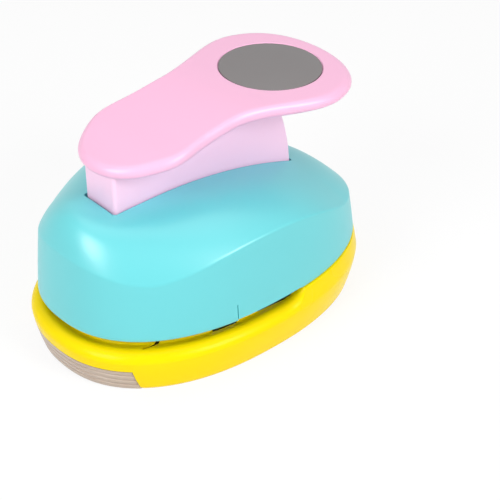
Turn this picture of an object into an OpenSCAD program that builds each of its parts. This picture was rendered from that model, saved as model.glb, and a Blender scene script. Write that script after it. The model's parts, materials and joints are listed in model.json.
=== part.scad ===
// Lever paper punch that cuts a round shape: oval base with a waste tray, domed cover and palm lever.
// Millimetres. The origin is at the bottom centre, +X runs to the rear palm pad and +Z is up.
// The lever turns about a cross pin at the front and its roller drives the cutter down.

/* [Outline] */
// Length of the base at its foot
base_len = 127; // [112:0.5:138]
// Width of the base at its foot
base_wid = 86; // [76:0.2:95]
// Squareness of the oval outline
oval_power = 2.3; // [2.2:0.05:2.8]
// How far the lip stands out past the foot
lip_out = 3; // [2:0.1:4.5]

/* [Cut] */
// Diameter of the cut circle
cut_d = 50.8; // [44:0.2:52]
// Distance of the cut centre from the front end of the foot
cut_x = 48.5; // [46:0.5:50]
// Downward travel of the cutter
stroke = 5.5; // [4.5:0.1:6]
// Space for the paper between die and guide
paper_gap = 1.6; // [1.2:0.1:2.4]
// Thickness of the die plate
die_t = 3.2; // [2.6:0.1:4]
// Thickness of the guide plate
guide_t = 3; // [2.4:0.1:4]
// Height of the cutter
punch_h = 8; // [7:0.1:9]
// Depth of the valley in the cutting face
shear_h = 1.2; // [0.6:0.1:1.6]

/* [Base] */
// Height of the space under the deck
deck_under = 11.2; // [10.8:0.1:13]
// Thickness of the deck that carries the die
deck_t = 2.8; // [2.6:0.1:5]
// Wall of the moulded shells
wall = 2.4; // [1.8:0.1:2.8]
// Distance from the cut circle back to the end of the paper slot
throat_x = 3.6; // [2:0.1:5]

/* [Tray] */
// Width of the tray across its front
tray_wid = 58; // [52:0.2:64]
// Height of the front of the tray
tray_h = 9.6; // [8:0.1:10.2]
// Thickness of the tray walls
tray_wall = 1.3; // [1:0.1:1.4]

/* [Cover] */
// Height of the ridge of the cover
ridge_h = 60.4; // [59:0.2:64]
// Height of the soft crease where skirt meets dome
crease_h = 43; // [40:0.5:46]
// Rise of the crease along the middle of each side
side_rise = 8; // [5:0.5:9]
// Rise of the crease at the middle of the front
front_rise = 5.5; // [2:0.5:6]
// Fall of the ridge at the rear end
ridge_fall = 20; // [16:0.5:21]
// Fullness of the shoulder above the crease
dome_full = 3.6; // [2.2:0.1:3.8]
// Free space beside the lever in the cover slot
slot_gap = 0.55; // [0.4:0.05:0.9]

/* [Lever] */
// Distance of the lever pivot from the front end of the foot
pivot_x = 23.5; // [22:0.5:25]
// Height of the lever pivot
pivot_z = 44; // [43:0.5:46]
// Diameter of the pivot pin
pivot_d = 6; // [5:0.5:7]
// Width of the lever stem
stem_wid = 17; // [15:0.5:18]
// Distance of the stem's rear face from the rear end of the foot
stem_rear = 24.9; // [22:0.1:27]
// Distance of the hand plate's front end from the front end of the foot
hand_front = 17.5; // [14:0.5:20]
// Distance of the hand plate's rear end from the rear end of the foot
hand_rear = 1.5; // [-3:0.5:3]
// Half width of the hand plate at its neck
neck_half = 20.8; // [18:0.2:24]
// Extra half width at the palm pad
pad_extra = 11.2; // [8:0.2:14]
// Thickness of the hand plate
hand_t = 5; // [4:0.2:6]
// Top height of the hand plate behind the neck
hand_h = 86.9; // [85:0.2:92]
// Drop of the hand plate at its front end
front_drop = 6.5; // [4:0.2:8]
// Diameter of the disc set into the palm pad
inlay_d = 37.8; // [32:0.2:40]
// Thickness of the disc
inlay_t = 1; // [0.8:0.1:1.4]

/* [Drive] */
// Diameter of the press roller
roller_d = 9; // [8:0.2:10]
// Diameter of the roller pin
roller_pin_d = 3; // [2.5:0.1:4]
// Distance of the guide post axis from the edge of the cut circle
post_y = 4.6; // [4.2:0.1:5.4]
// Diameter of the guide posts
post_d = 5; // [4.4:0.1:5.4]
// Wire of the return springs
wire_d = 1.1; // [0.8:0.1:1.2]
// Curls in each return spring
curls = 5; // [4:0.5:7]

/* [Hidden] */
// Fits, and the reach of cuts that go right through
run = 0.05;
press_gap = 0.02;
join = 0.1;
free = 0.3;
far = 150;
ring_n = 64;
hand_n = 64;
$fn = 48;

// Heights of the plates and the housing seam
z_deck = deck_under + deck_t;
z_die = z_deck + die_t;
z_guide = z_die + paper_gap;
z_frame = z_guide + guide_t;
seam_down = 0.8;
lip_down = 0.2;
bulge_down = 3;
z_seam = z_frame - seam_down;
z_lip = z_die - lip_down;
z_bulge = z_lip - bulge_down;

// Outlines, measured in from the lip
cover_in = 2.2;
seam_in = 1.3;
plate_in = 8.7;
cover_out = lip_out - cover_in;
seam_out = lip_out - seam_in;
plate_out = lip_out - plate_in;
cover_dx = 1;
foot_round = 0.9;

// Places along the length
front = -base_len / 2;
rear = base_len / 2;
cut_mid = front + cut_x;
pivot_at = front + pivot_x;
throat_at = cut_mid + cut_d / 2 + throat_x;
plate_end = 27;
plate_side = 14;
plate_rear = rear - plate_end;
plate_half = base_wid / 2 - plate_side;
spacer_gap = 0.6;
bay = plate_rear - throat_at;

// Paper slot: rounded lip, dished lead-in and slot end
lip_r = 4;
lead_len = 3;
lead_dip = 0.8;
run_out = 9;
run_power = 2.2;
slit_back = 15;
slit_len = 6;
slit_wid = 0.6;
slit_side = 13.6;
step_back = 2;
step_h = 0.9;

// Hand plate and stem
hand_x0 = front + hand_front;
hand_x1 = rear - hand_rear;
hand_mid = (hand_x0 + hand_x1) / 2;
hand_half = (hand_x1 - hand_x0) / 2;
lobe_extra = 2.2;
lobe_back = 21;
lobe_len = 10;
pad_ramp = 62;
pad_ramp_len = 42;
fall_back = 58;
fall_len = 50;
pad_in = 26.1;
pad_x = hand_x1 - pad_in;
pad_slope = 0.03;
pad_rim = 3;
pad_flat = pad_x - inlay_d / 2 - pad_rim;
stem_in = 4.5;
stem_x0 = hand_x0 + stem_in;
stem_arc = rear - stem_rear - pivot_at;
stem_top_in = 8.6;
corner_r = 1.5;
slot_end = 1;
slot_front = stem_x0 - slot_end;
slot_rear = pivot_at + stem_arc + slot_end;
slot_deep = 12;
boss_r = 7;
boss_land = 2.5;
stem_drop = 0.6;
toe_half = 6;
toe_lift = 0.7;
knee = 21;
rib_t = 1.8;
rib_lift = 9;
rib_count = 2;
lug_len = 4.5;
lug_in = 3;
lug_out = 2;
lug_root = 4;
lug_lift = 0.2;
lug_t = 1.8;

// Cutter, carrier and its two posts
face_lift = 0.6;
disc_t = 3.6;
pad_t = 2;
roller_gap = 0.15;
z_face = z_guide + face_lift;
z_punch = z_face + punch_h;
z_disc = z_punch + disc_t;
z_press = z_disc + pad_t;
roller_z = z_press + roller_d / 2 + roller_gap;
roller_side = 0.6;
roller_half = stem_wid / 2 - wall - roller_side;
disc_in = 3.4;
hollow_in = 9;
hollow_deep = 4.5;
pad_half = 7;
upright_gap = 6.5;
upright_t = 4.5;
post_at = cut_d / 2 + post_y;
post_step = 0.5;
boss_wall = 2.4;
upright_side = 1.6;
post_boss = post_d / 2 + boss_wall;
upright_half = post_boss + upright_side;
spring_spare = 0.8;
arm_low = z_frame + stroke + curls * wire_d + spring_spare;
arm_t = 3.4;
arm_top = arm_low + arm_t;
post_up = 5;
post_top = arm_top + post_up;

// Clips, rivets and screws
clip_t = 0.8;
clip_out = 1.9;
clip_mouth = 1.5;
groove_deep = 0.7;
pin_end = 1.2;
rivet_r = 2.5;
rivet_head_r = 4.2;
rivet_head_h = 1.5;
thin_rivet_r = 1.5;
thin_head_r = 2.2;
thin_head_h = 1.2;
screw_r = 1.5;
fine_screw_r = 1.4;
screw_bite = 0.6;
head_r = 2.8;
fine_head_r = 2.5;
head_h = 1.8;
cross_half = 2;
cross_wid = 0.8;
cross_deep = 0.7;
boss_screw_r = 3.6;
boss_sink = 1.2;
boss_hole = 10;
web_t = 1.6;

// Pivot bracket
ear_gap = 0.5;
ear_t = 2;
ear_in = stem_wid / 2 + ear_gap;
ear_out = ear_in + ear_t;
foot_gap = 2.1;
foot_len = 9;
foot_wide = 8.6;
foot_toe = 2.5;
bridge_h = 12;
foot_rear = cut_mid - cut_d / 2 - foot_gap;
foot_front = foot_rear - foot_len;
rivet_edge = 2.3;
rivet_near = 3.6;
rivet_far = 5.4;

// Tray and its rails
tray_half = tray_wid / 2;
tray_back = 6.6;
tray_rear = cut_mid + cut_d / 2 + tray_back;
tray_mouth = 33.5;
strip_low = 0.4;
rail_low = 0.5;
ledge_t = 0.8;
ledge_in = 2.2;
rail_t = 2.6;
rail_in = tray_half + free;
floor_low = rail_low + ledge_t + free;
floor_t = 1.2;
side_drop = 1.2;
tray_side = tray_h - side_drop;
stop_back = 5;
stop_t = 2;
hole_gap = 1.1;
strip_back = (front + wall) * pow(1 - pow(tray_half / (base_wid / 2 - wall), oval_power), 1 / oval_power);
ledge_start = strip_back + wall;

// Places of rivets and screws
rivet_first = 0.42;
rivet_second = 0.7;
rivet_side_1 = 6;
rivet_side_2 = 16;
die_screw_out = 10;
die_screw_a = 137;
die_screw_back = 4;
die_screw_half = 7;
cover_screw_back = 13;
cover_screw_side = 8.8;
cover_screw_end = 16;
cover_screw_half = 17;
punch_screw_in = 6.1;
frame_rivet_at = [[throat_at + rivet_first * bay, plate_half - rivet_side_1],
    [throat_at + rivet_second * bay, plate_half - rivet_side_2]];
die_screw_at = [[cut_mid + (cut_d / 2 + die_screw_out) * cos(die_screw_a),
    (cut_d / 2 + die_screw_out) * sin(die_screw_a)], [throat_at + die_screw_back, die_screw_half]];
cover_screw_at = [[throat_at + cover_screw_back, base_wid / 2 - cover_screw_side],
    [rear - cover_screw_end, cover_screw_half]];
foot_rivet_at = [[foot_front + rivet_edge, ear_out + rivet_near], [foot_rear - rivet_edge, ear_out + rivet_far]];
punch_screw_at = [for (a = [60, 180, 300])
    [cut_mid + (cut_d / 2 - punch_screw_in) * cos(a), (cut_d / 2 - punch_screw_in) * sin(a)]];

// Points of the oval outline at an angle
function oval(a, b, t) = [
    a * sign(cos(t)) * pow(abs(cos(t)), 2 / oval_power),
    b * sign(sin(t)) * pow(abs(sin(t)), 2 / oval_power)
];
function oval_pts(out) = [
    for (i = [0 : ring_n - 1]) oval(base_len / 2 + out, base_wid / 2 + out, i * 360 / ring_n)
];
function body_ring(out, z) = [for (p = oval_pts(out)) [p[0], p[1], z]];

// A number that runs smoothly from 0 to 1
function ease(t) = let (c = min(1, max(0, t))) c * c * (3 - 2 * c);

// Faces between stacked rings, and flat or ridged ends
function side_faces(m, n) = [
    for (r = [0 : m - 2], i = [0 : n - 1], k = [0 : 1])
        let (a = r * n + i, b = r * n + (i + 1) % n)
        k == 0 ? [a, a + n, b + n] : [a, b + n, b]
];
function flat_end(o, n) = [[for (i = [0 : n - 1]) o + i]];
function ridge_end(o, n) = [
    for (i = [0 : n / 2 - 1])
        i == 0 ? [o, o + n - 1, o + 1]
        : i == n / 2 - 1 ? [o + i, o + n - i, o + i + 1]
        : [o + i, o + n - i, o + n - i - 1, o + i + 1]
];
function turned(faces) = [for (f = faces) [for (i = [len(f) - 1 : -1 : 0]) f[i]]];

module skin(rings, flat_low = true, flat_top = true) {
    n = len(rings[0]);
    m = len(rings);
    low = flat_low ? flat_end(0, n) : turned(ridge_end(0, n));
    top = flat_top ? turned(flat_end((m - 1) * n, n)) : ridge_end((m - 1) * n, n);
    polyhedron([for (r = rings) each r], concat(side_faces(m, n), low, top));
}

module both_sides() {
    for (s = [0, 1])
        mirror([0, s, 0])
            children();
}

module oval_prism(out, z0, z1) {
    translate([0, 0, z0])
        linear_extrude(z1 - z0)
            polygon(oval_pts(out));
}

module box(x0, x1, y0, y1, z0, z1) {
    translate([x0, y0, z0])
        cube([x1 - x0, y1 - y0, z1 - z0]);
}

module rod(p, z0, z1, r) {
    translate([p[0], p[1], z0])
        cylinder(r = r, h = z1 - z0);
}

module cross_rod(x, z, y0, y1, r) {
    translate([x, y1, z])
        rotate([90, 0, 0])
            cylinder(r = r, h = y1 - y0);
}

module side_plate(y0, y1) {
    translate([0, y1, 0])
        rotate([90, 0, 0])
            linear_extrude(y1 - y0)
                children();
}

// Cross recess of a screw head
module cross_cut(p, z0, z1) {
    box(p[0] - cross_half, p[0] + cross_half, p[1] - cross_wid / 2, p[1] + cross_wid / 2, z0, z1);
    box(p[0] - cross_wid / 2, p[0] + cross_wid / 2, p[1] - cross_half, p[1] + cross_half, z0, z1);
}

// Flared wall of the base: out from the foot to the lip, then slightly in to the seam
function wall_out(z) = z < z_bulge
    ? lip_out * (1 - pow(1 - max(0, z) / z_bulge, 1.4))
    : lip_out - (lip_out - seam_out) * (z - z_bulge) / (z_seam - z_bulge);

module base_solid() {
    foot = [body_ring(-foot_round, 0), body_ring(-foot_round / 3, strip_low)];
    steps = [for (u = [0.08, 0.25, 0.45, 0.65, 0.83, 1]) body_ring(wall_out(u * z_bulge), u * z_bulge)];
    skin(concat(foot, steps, [body_ring(seam_out, z_seam)]));
}

module under_space() {
    steps = [for (u = [0.25, 0.6, 1]) body_ring(wall_out(u * deck_under) - wall, u * deck_under)];
    skin(concat([body_ring(-wall - lip_down, -foot_round)], steps));
}

// Space over the rounded lip and the dish behind it, cut away where the paper goes in
module throat_space() {
    lip_mid = wall_out(z_lip - lip_r) - lip_r + run;
    dish_at = lip_mid - lead_len;
    dish_z = z_lip - 2 * lead_dip;
    die_at = plate_out + free - join;
    ramp = [for (u = [0 : 0.25 : 0.75])
        [die_at + (dish_at - die_at) * u, dish_z + (z_die - join - dish_z) * (1 + cos(180 * u)) / 2]];
    lead = [for (u = [1 : -0.25 : 0.25]) [lip_mid - lead_len * u, z_lip - lead_dip * (1 - cos(180 * u))]];
    arc = [for (a = [90 : -15 : 0]) [lip_mid + lip_r * cos(a), z_lip - lip_r + lip_r * sin(a)]];
    out = [[lip_mid + foot_wide, z_lip - lip_r], [lip_mid + foot_wide, z_seam + slot_deep]];
    rise = z_seam - z_lip + lip_r;
    intersection() {
        skin([for (p = concat(ramp, lead, arc, out)) body_ring(p[0], p[1])]);
        side_plate(-far, far)
            polygon(concat([[-far, z_lip - 2 * lip_r], [-far, far], [throat_at, far]],
                [for (u = [1 : -0.1 : 0])
                    [throat_at - run_out * (1 - u), z_lip - lip_r + rise * pow(u, run_power)]],
                [[throat_at - run_out, z_lip - 2 * lip_r]]));
    }
}

module plate_shape() {
    difference() {
        intersection() {
            polygon(oval_pts(plate_out));
            translate([-far, -far])
                square([far + plate_rear, 2 * far]);
        }
        for (s = [0, 1])
            mirror([0, s])
                translate([throat_at + throat_x, plate_half])
                    square([far, far]);
    }
}

// Runners beside, under and over the edges of the tray, with a stop behind it
module tray_rails() {
    stop_x = tray_rear + stop_back;
    both_sides() {
        box(strip_back - rail_t, stop_x, rail_in, rail_in + rail_t, rail_low, deck_under + join);
        box(ledge_start, stop_x, rail_in - ledge_in, rail_in + join, rail_low, rail_low + ledge_t);
        box(ledge_start, stop_x, rail_in - ledge_in, rail_in + join, tray_side + free, deck_under + join);
    }
    box(stop_x, stop_x + stop_t, -rail_in - rail_t, rail_in + rail_t, rail_low, deck_under + join);
}

module lower_base() {
    color([0.98, 0.9, 0.1])
    difference() {
        union() {
            difference() {
                base_solid();
                under_space();
                throat_space();
                box(-far, front + tray_mouth, -rail_in, rail_in, -far, tray_h + free);
                oval_prism(plate_out + free, z_deck, far);
                intersection() {
                    oval_prism(seam_out - wall - free, z_deck, far);
                    box(throat_at + throat_x, far, -far, far, 0, far);
                }
            }
            intersection() {
                base_solid();
                tray_rails();
            }
            both_sides()
                for (p = cover_screw_at)
                    rod(p, z_deck - join, z_seam - join, boss_screw_r);
        }
        rod([cut_mid, 0], 0, far, cut_d / 2 + hole_gap);
        both_sides() {
            box(front + slit_back, front + slit_back + slit_len, base_wid / 2 - slit_side - slit_wid,
                base_wid / 2 - slit_side, z_deck, far);
            for (p = die_screw_at)
                rod(p, deck_under - join, far, screw_r + join);
            for (p = cover_screw_at) {
                rod(p, deck_under - join, far, screw_r + join);
                rod(p, rail_low, deck_under + boss_sink, head_r + free);
            }
        }
    }
}

module chip_tray() {
    color([0.75, 0.67, 0.61])
    intersection() {
        base_solid();
        union() {
            difference() {
                box(-far, front + tray_mouth, -tray_half, tray_half, strip_low, tray_h);
                under_space();
            }
            box(-far, tray_rear, -tray_half, tray_half, floor_low, floor_low + floor_t);
            both_sides()
                box(strip_back - rail_t, tray_rear, tray_half - tray_wall, tray_half, floor_low, tray_side);
            box(tray_rear - tray_wall, tray_rear, -tray_half, tray_half, floor_low, tray_side);
        }
    }
}

module die_plate() {
    color([0.6, 0.61, 0.63])
    difference() {
        translate([0, 0, z_deck])
            linear_extrude(die_t)
                plate_shape();
        rod([cut_mid, 0], 0, far, cut_d / 2 + run);
        both_sides() {
            for (p = frame_rivet_at)
                rod(p, 0, far, rivet_r + press_gap);
            for (p = die_screw_at)
                rod(p, 0, far, screw_r + press_gap);
        }
    }
}

module throat_spacer() {
    color([0.5, 0.51, 0.53])
    difference() {
        box(throat_at + spacer_gap, plate_rear, -plate_half, plate_half, z_die, z_guide);
        both_sides()
            for (p = frame_rivet_at)
                rod(p, 0, far, rivet_r + press_gap);
    }
}

module guide_plate() {
    color([0.66, 0.67, 0.69])
    difference() {
        translate([0, 0, z_guide])
            linear_extrude(guide_t)
                plate_shape();
        rod([cut_mid, 0], 0, far, cut_d / 2 + run);
        both_sides() {
            for (p = frame_rivet_at)
                rod(p, 0, far, rivet_r + press_gap);
            for (p = foot_rivet_at)
                rod(p, 0, far, thin_rivet_r + press_gap);
            rod([cut_mid, post_at], 0, far, post_d / 2 - post_step + press_gap);
        }
    }
}

module frame_rivets() {
    color([0.78, 0.78, 0.8])
    both_sides()
        for (p = frame_rivet_at) {
            rod(p, z_deck, z_frame + join, rivet_r);
            rod(p, z_frame, z_frame + rivet_head_h, rivet_head_r);
        }
}

module die_screws() {
    color([0.8, 0.8, 0.82])
    both_sides()
        for (p = die_screw_at)
            difference() {
                union() {
                    rod(p, deck_under - join, z_die - screw_bite, screw_r);
                    rod(p, deck_under - head_h, deck_under, head_r);
                }
                cross_cut(p, 0, deck_under - head_h + cross_deep);
            }
}

module pivot_bracket() {
    color([0.7, 0.71, 0.73])
    difference() {
        union() {
            both_sides() {
                side_plate(ear_in, ear_out)
                    hull() {
                        translate([pivot_at, pivot_z])
                            circle(boss_r);
                        translate([foot_front - foot_toe, z_frame])
                            square([foot_len + foot_toe, ear_t]);
                    }
                box(foot_front, foot_rear, ear_in, ear_out + foot_wide, z_frame, z_frame + ear_t);
            }
            box(foot_front - foot_toe, foot_front - foot_toe + ear_t, -ear_out, ear_out, z_frame, z_frame + bridge_h);
        }
        cross_rod(pivot_at, pivot_z, -far, far, pivot_d / 2 + press_gap);
        both_sides()
            for (p = foot_rivet_at)
                rod(p, 0, far, thin_rivet_r + press_gap);
    }
}

module bracket_rivets() {
    color([0.78, 0.78, 0.8])
    both_sides()
        for (p = foot_rivet_at) {
            rod(p, z_guide, z_frame + ear_t + join, thin_rivet_r);
            rod(p, z_frame + ear_t, z_frame + ear_t + thin_head_h, thin_head_r);
        }
}

module pivot_pin() {
    groove = ear_out + free;
    tip = groove + clip_t + join;
    color([0.82, 0.83, 0.85])
    union() {
        cross_rod(pivot_at, pivot_z, -groove, groove, pivot_d / 2);
        cross_rod(pivot_at, pivot_z, -tip - join, tip + join, pivot_d / 2 - groove_deep);
        both_sides()
            cross_rod(pivot_at, pivot_z, tip, tip + pin_end, pivot_d / 2);
    }
}

module pin_clips() {
    groove = ear_out + free + run;
    color([0.25, 0.25, 0.27])
    both_sides()
        difference() {
            cross_rod(pivot_at, pivot_z, groove, groove + clip_t, pivot_d / 2 + clip_out);
            cross_rod(pivot_at, pivot_z, 0, far, pivot_d / 2 - groove_deep + run);
            box(pivot_at - clip_mouth, pivot_at + clip_mouth, 0, far, pivot_z, pivot_z + far);
        }
}

module guide_posts() {
    p = [cut_mid, post_at];
    groove = arm_top + free - run;
    color([0.8, 0.81, 0.83])
    both_sides() {
        rod(p, z_guide + free, z_frame + join, post_d / 2 - post_step);
        rod(p, z_frame, groove, post_d / 2);
        rod(p, groove - join, groove + clip_t + 2 * join, post_d / 2 - groove_deep);
        rod(p, groove + clip_t + join, post_top, post_d / 2);
    }
}

module post_clips() {
    p = [cut_mid, post_at];
    color([0.25, 0.25, 0.27])
    both_sides()
        difference() {
            rod(p, arm_top + free, arm_top + free + clip_t, post_d / 2 + clip_out);
            rod(p, 0, far, post_d / 2 - groove_deep + run);
            box(cut_mid - far, cut_mid, post_at - clip_mouth, post_at + clip_mouth, 0, far);
        }
}

// One unbroken coil of round wire about a guide post
coil_gap_in = 0.9;
spring_r = post_d / 2 + coil_gap_in + wire_d / 2;
spring_low = z_frame + wire_d / 2 + run;
spring_top = arm_low - wire_d / 2 - run;
spring_steps = round(curls * 10);
function coil_at(u) = [
    spring_r * cos(360 * curls * u),
    spring_r * sin(360 * curls * u),
    spring_low + (spring_top - spring_low) * u
];
coil_lean = atan2(spring_top - spring_low, 2 * PI * spring_r * curls);
function coil_ring(u) = let (c = coil_at(u), a = 360 * curls * u) [
    for (k = [0 : 5])
        let (w = 60 * k, p = wire_d / 2 * cos(w), q = wire_d / 2 * sin(w))
        [
            c[0] + p * cos(a) + q * sin(coil_lean) * sin(a),
            c[1] + p * sin(a) - q * sin(coil_lean) * cos(a),
            c[2] + q * cos(coil_lean)
        ]
];
coil_pts = [for (j = [0 : spring_steps]) coil_at(j / spring_steps)];
coil_gap = min([for (i = [0 : spring_steps], j = [i + 6 : 1 : spring_steps])
    norm(coil_pts[i] - coil_pts[j])]) - wire_d;
echo(least_gap_between_curls = coil_gap);

module spring_at(y) {
    rings = [for (j = [0 : spring_steps]) coil_ring(j / spring_steps)];
    m = len(rings);
    translate([cut_mid, y, 0])
        polyhedron([for (r = rings) each r],
            turned(concat(side_faces(m, 6), flat_end(0, 6), turned(flat_end((m - 1) * 6, 6)))));
}

module return_spring_left() {
    color([0.75, 0.76, 0.78])
        spring_at(post_at);
}

module return_spring_right() {
    color([0.75, 0.76, 0.78])
        spring_at(-post_at);
}

module punch_cutter() {
    edge = cut_d / 2 + join;
    color([0.62, 0.63, 0.66])
    difference() {
        rod([cut_mid, 0], z_face, z_punch, cut_d / 2);
        rod([cut_mid, 0], z_punch - hollow_deep, far, cut_d / 2 - hollow_in);
        side_plate(-far, far)
            polygon([[cut_mid - edge, z_face - join], [cut_mid - edge, z_face],
                [cut_mid, z_face + shear_h], [cut_mid + edge, z_face], [cut_mid + edge, z_face - join]]);
        for (p = punch_screw_at)
            rod(p, z_punch - hollow_deep, far, fine_screw_r + press_gap);
    }
}

module punch_carrier() {
    upright_in = stem_wid / 2 + upright_gap;
    upright_out = upright_in + upright_t;
    color([0.93, 0.93, 0.92])
    difference() {
        union() {
            rod([cut_mid, 0], z_punch, z_disc, cut_d / 2 - disc_in);
            box(cut_mid - pad_half, cut_mid + pad_half, -roller_half, roller_half, z_disc - join, z_press);
            both_sides() {
                box(cut_mid - upright_half, cut_mid + upright_half, upright_in, upright_out, z_disc - join, arm_top);
                box(cut_mid - post_boss, cut_mid + post_boss, upright_out - join, post_at, arm_low, arm_top);
                rod([cut_mid, post_at], arm_low, arm_top, post_boss);
            }
        }
        both_sides()
            rod([cut_mid, post_at], 0, far, post_d / 2 + run);
        for (p = punch_screw_at)
            rod(p, 0, far, fine_screw_r + press_gap);
    }
}

module punch_screws() {
    color([0.8, 0.8, 0.82])
    for (p = punch_screw_at)
        difference() {
            union() {
                rod(p, z_punch - hollow_deep + screw_bite, z_disc + join, fine_screw_r);
                rod(p, z_disc, z_disc + head_h, fine_head_r);
            }
            cross_cut(p, z_disc + head_h - cross_deep, far);
        }
}

module press_roller() {
    color([0.7, 0.71, 0.73])
    difference() {
        cross_rod(cut_mid, roller_z, -roller_half, roller_half, roller_d / 2);
        cross_rod(cut_mid, roller_z, -far, far, roller_pin_d / 2 + run);
    }
}

module roller_pin() {
    color([0.82, 0.83, 0.85])
        cross_rod(cut_mid, roller_z, -stem_wid / 2 - free, stem_wid / 2 + free, roller_pin_d / 2);
}

// Outline and height of the hand plate
function hand_half_wid(x) = (neck_half + lobe_extra * exp(-pow((x - hand_x0 - lobe_back) / lobe_len, 2))
    + pad_extra * ease((x - hand_x1 + pad_ramp) / pad_ramp_len))
    * sqrt(1 - pow(min(1, abs(x - hand_mid) / hand_half), 5));
function hand_top(x) = hand_h - front_drop * ease((hand_x0 + fall_back - x) / fall_len)
    - pad_slope * max(0, x - pad_flat);
function hand_ring(inset, down) = [
    for (i = [0 : hand_n - 1])
        let (
            c = cos(i * 360 / hand_n),
            s = sign(sin(i * 360 / hand_n)),
            x = hand_mid + (hand_half - inset) * c,
            y = hand_half_wid(hand_mid + hand_half * c) * (1 - inset / (neck_half + pad_extra / 2))
        )
        [x, s * y, hand_top(x) - down]
];

// Side view of the stem, whose rear face is an arc about the pivot, and of its hollow
module stem_shape() {
    stem_top = hand_top(pivot_at + stem_arc - stem_top_in) - hand_t * 0.6;
    top_a = asin((stem_top - pivot_z) / stem_arc);
    low_a = asin(-stem_drop / stem_arc);
    arc_end = pivot_at + stem_arc * cos(top_a);
    polygon(concat(
        [for (u = [0 : 0.1 : 1])
            let (x = stem_x0 + (arc_end - stem_x0) * u) [x, hand_top(x) - hand_t * 0.6]],
        [for (u = [0.1 : 0.1 : 1])
            let (a = top_a + (low_a - top_a) * u) [pivot_at + stem_arc * cos(a), pivot_z + stem_arc * sin(a)]],
        [[cut_mid + knee, roller_z + stem_drop], [cut_mid + toe_half, z_press + toe_lift],
            [cut_mid - toe_half, z_press + toe_lift], [pivot_at + toe_half, pivot_z - boss_r], [stem_x0, pivot_z]]
    ));
}

module stem_hollow() {
    hollow_arc = stem_arc - wall;
    roof = hand_t + wall;
    near = boss_r + boss_land;
    high_a = asin((hand_top(pivot_at + stem_arc - stem_top_in) - roof - pivot_z) / hollow_arc);
    polygon(concat(
        [for (u = [0 : 0.2 : 1])
            let (x = pivot_at + near + (hollow_arc * cos(high_a) - near) * u) [x, hand_top(x) - roof]],
        [for (u = [0.1 : 0.1 : 1])
            let (a = high_a * (1 - u) - 6 * u) [pivot_at + hollow_arc * cos(a), pivot_z + hollow_arc * sin(a)]],
        [[cut_mid, z_press - roller_d], [pivot_at + near, z_press - roller_d / 2]]
    ));
}

// Plan of the stem with rounded front corners, and with a gap the plan of its slot
module stem_plan(x0, x1, half) {
    translate([x0 + corner_r, corner_r - half])
        offset(r = corner_r)
            square([x1 - x0 - 2 * corner_r, 2 * (half - corner_r)]);
}

module handle_lever() {
    rib_gap = (slot_rear - cut_mid) / (rib_count + 1);
    color([0.98, 0.76, 0.88])
    difference() {
        union() {
            skin([for (a = [-90 : 22.5 : 90])
                hand_ring(hand_t / 2 * (1 - cos(a)), hand_t / 2 * (1 - sin(a)))], false, false);
            difference() {
                intersection() {
                    side_plate(-stem_wid / 2, stem_wid / 2)
                        stem_shape();
                    linear_extrude(far)
                        stem_plan(stem_x0, slot_rear + far, stem_wid / 2);
                }
                side_plate(-stem_wid / 2 + wall, stem_wid / 2 - wall)
                    stem_hollow();
            }
            cross_rod(pivot_at, pivot_z, -stem_wid / 2, stem_wid / 2, boss_r);
            for (k = [1 : rib_count])
                let (x = cut_mid + k * rib_gap)
                    box(x, x + rib_t, -stem_wid / 2 + join, stem_wid / 2 - join, roller_z + rib_lift,
                        hand_top(x) - hand_t);
            both_sides()
                box(slot_rear - lug_in - lug_len, slot_rear - lug_in, lug_root, stem_wid / 2 + lug_out,
                    pivot_z + lug_lift, pivot_z + lug_lift + lug_t);
        }
        cross_rod(pivot_at, pivot_z, -far, far, pivot_d / 2 + run);
        cross_rod(cut_mid, roller_z, -far, far, roller_pin_d / 2 + press_gap);
        translate([pad_x, 0, hand_top(pad_x)])
            rotate([0, atan(pad_slope), 0])
                translate([0, 0, -inlay_t])
                    cylinder(r = inlay_d / 2 + join, h = far);
    }
}

module handle_inlay() {
    color([0.53, 0.51, 0.51])
    translate([pad_x, 0, hand_top(pad_x)])
        rotate([0, atan(pad_slope), 0])
            translate([0, 0, -inlay_t])
                cylinder(r = inlay_d / 2, h = inlay_t);
}

// Ridge and crease of the cover, both falling to the rear
ridge_from = 38;
ridge_to = 3;
ridge_in = 17.5;
ridge_half = 3;
ridge_dx = 4;
skirt_lean = 2;
crease_fall = 0.45;
rise_power = 1.6;
function ridge_at(x) = let (x0 = front + ridge_from)
    ridge_h - ridge_fall * pow(max(0, x - x0) / (rear - ridge_to - x0), 2);
function crease_at(x, t) = crease_h - crease_fall * ridge_fall * pow(max(0, x) / rear, 2)
    + side_rise * pow(max(0, -cos(2 * t)), rise_power)
    + (cos(t) < 0 ? front_rise * pow(max(0, cos(2 * t)), rise_power) : 0);
function skirt_ring(inset, u) = [
    for (i = [0 : ring_n - 1])
        let (
            out = cover_out - skirt_lean * pow(u, 3) - inset,
            t = i * 360 / ring_n,
            p = oval(base_len / 2 + out, base_wid / 2 + out, t),
            x = p[0] + cover_dx
        )
        [x, p[1], z_seam + (crease_at(x, t) - z_seam) * u - inset * pow(u, 6)]
];
function dome_ring(inset, v) = [
    for (i = [0 : ring_n - 1])
        let (
            out = cover_out - skirt_lean - inset,
            a = (base_len / 2 + out) * (1 - v) + (base_len / 2 - ridge_in) * v,
            b = (base_wid / 2 + out) * (1 - v) + ridge_half * v,
            t = i * 360 / ring_n,
            p = oval(a, b, t),
            x = p[0] + cover_dx - ridge_dx * v,
            low = crease_at(x, t)
        )
        [x, p[1], low + (ridge_at(x) - low) * (1 - pow(1 - v, dome_full)) - inset]
];

module cover_solid(inset, us, vs) {
    skin(concat([for (u = us) skirt_ring(inset, u)], [for (v = vs) dome_ring(inset, v)]), true, false);
}

module cover_inside(inset) {
    cover_solid(inset, [0, 0.5, 0.8, 1], [0.06, 0.14, 0.25, 0.4, 0.68, 1]);
}

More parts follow.
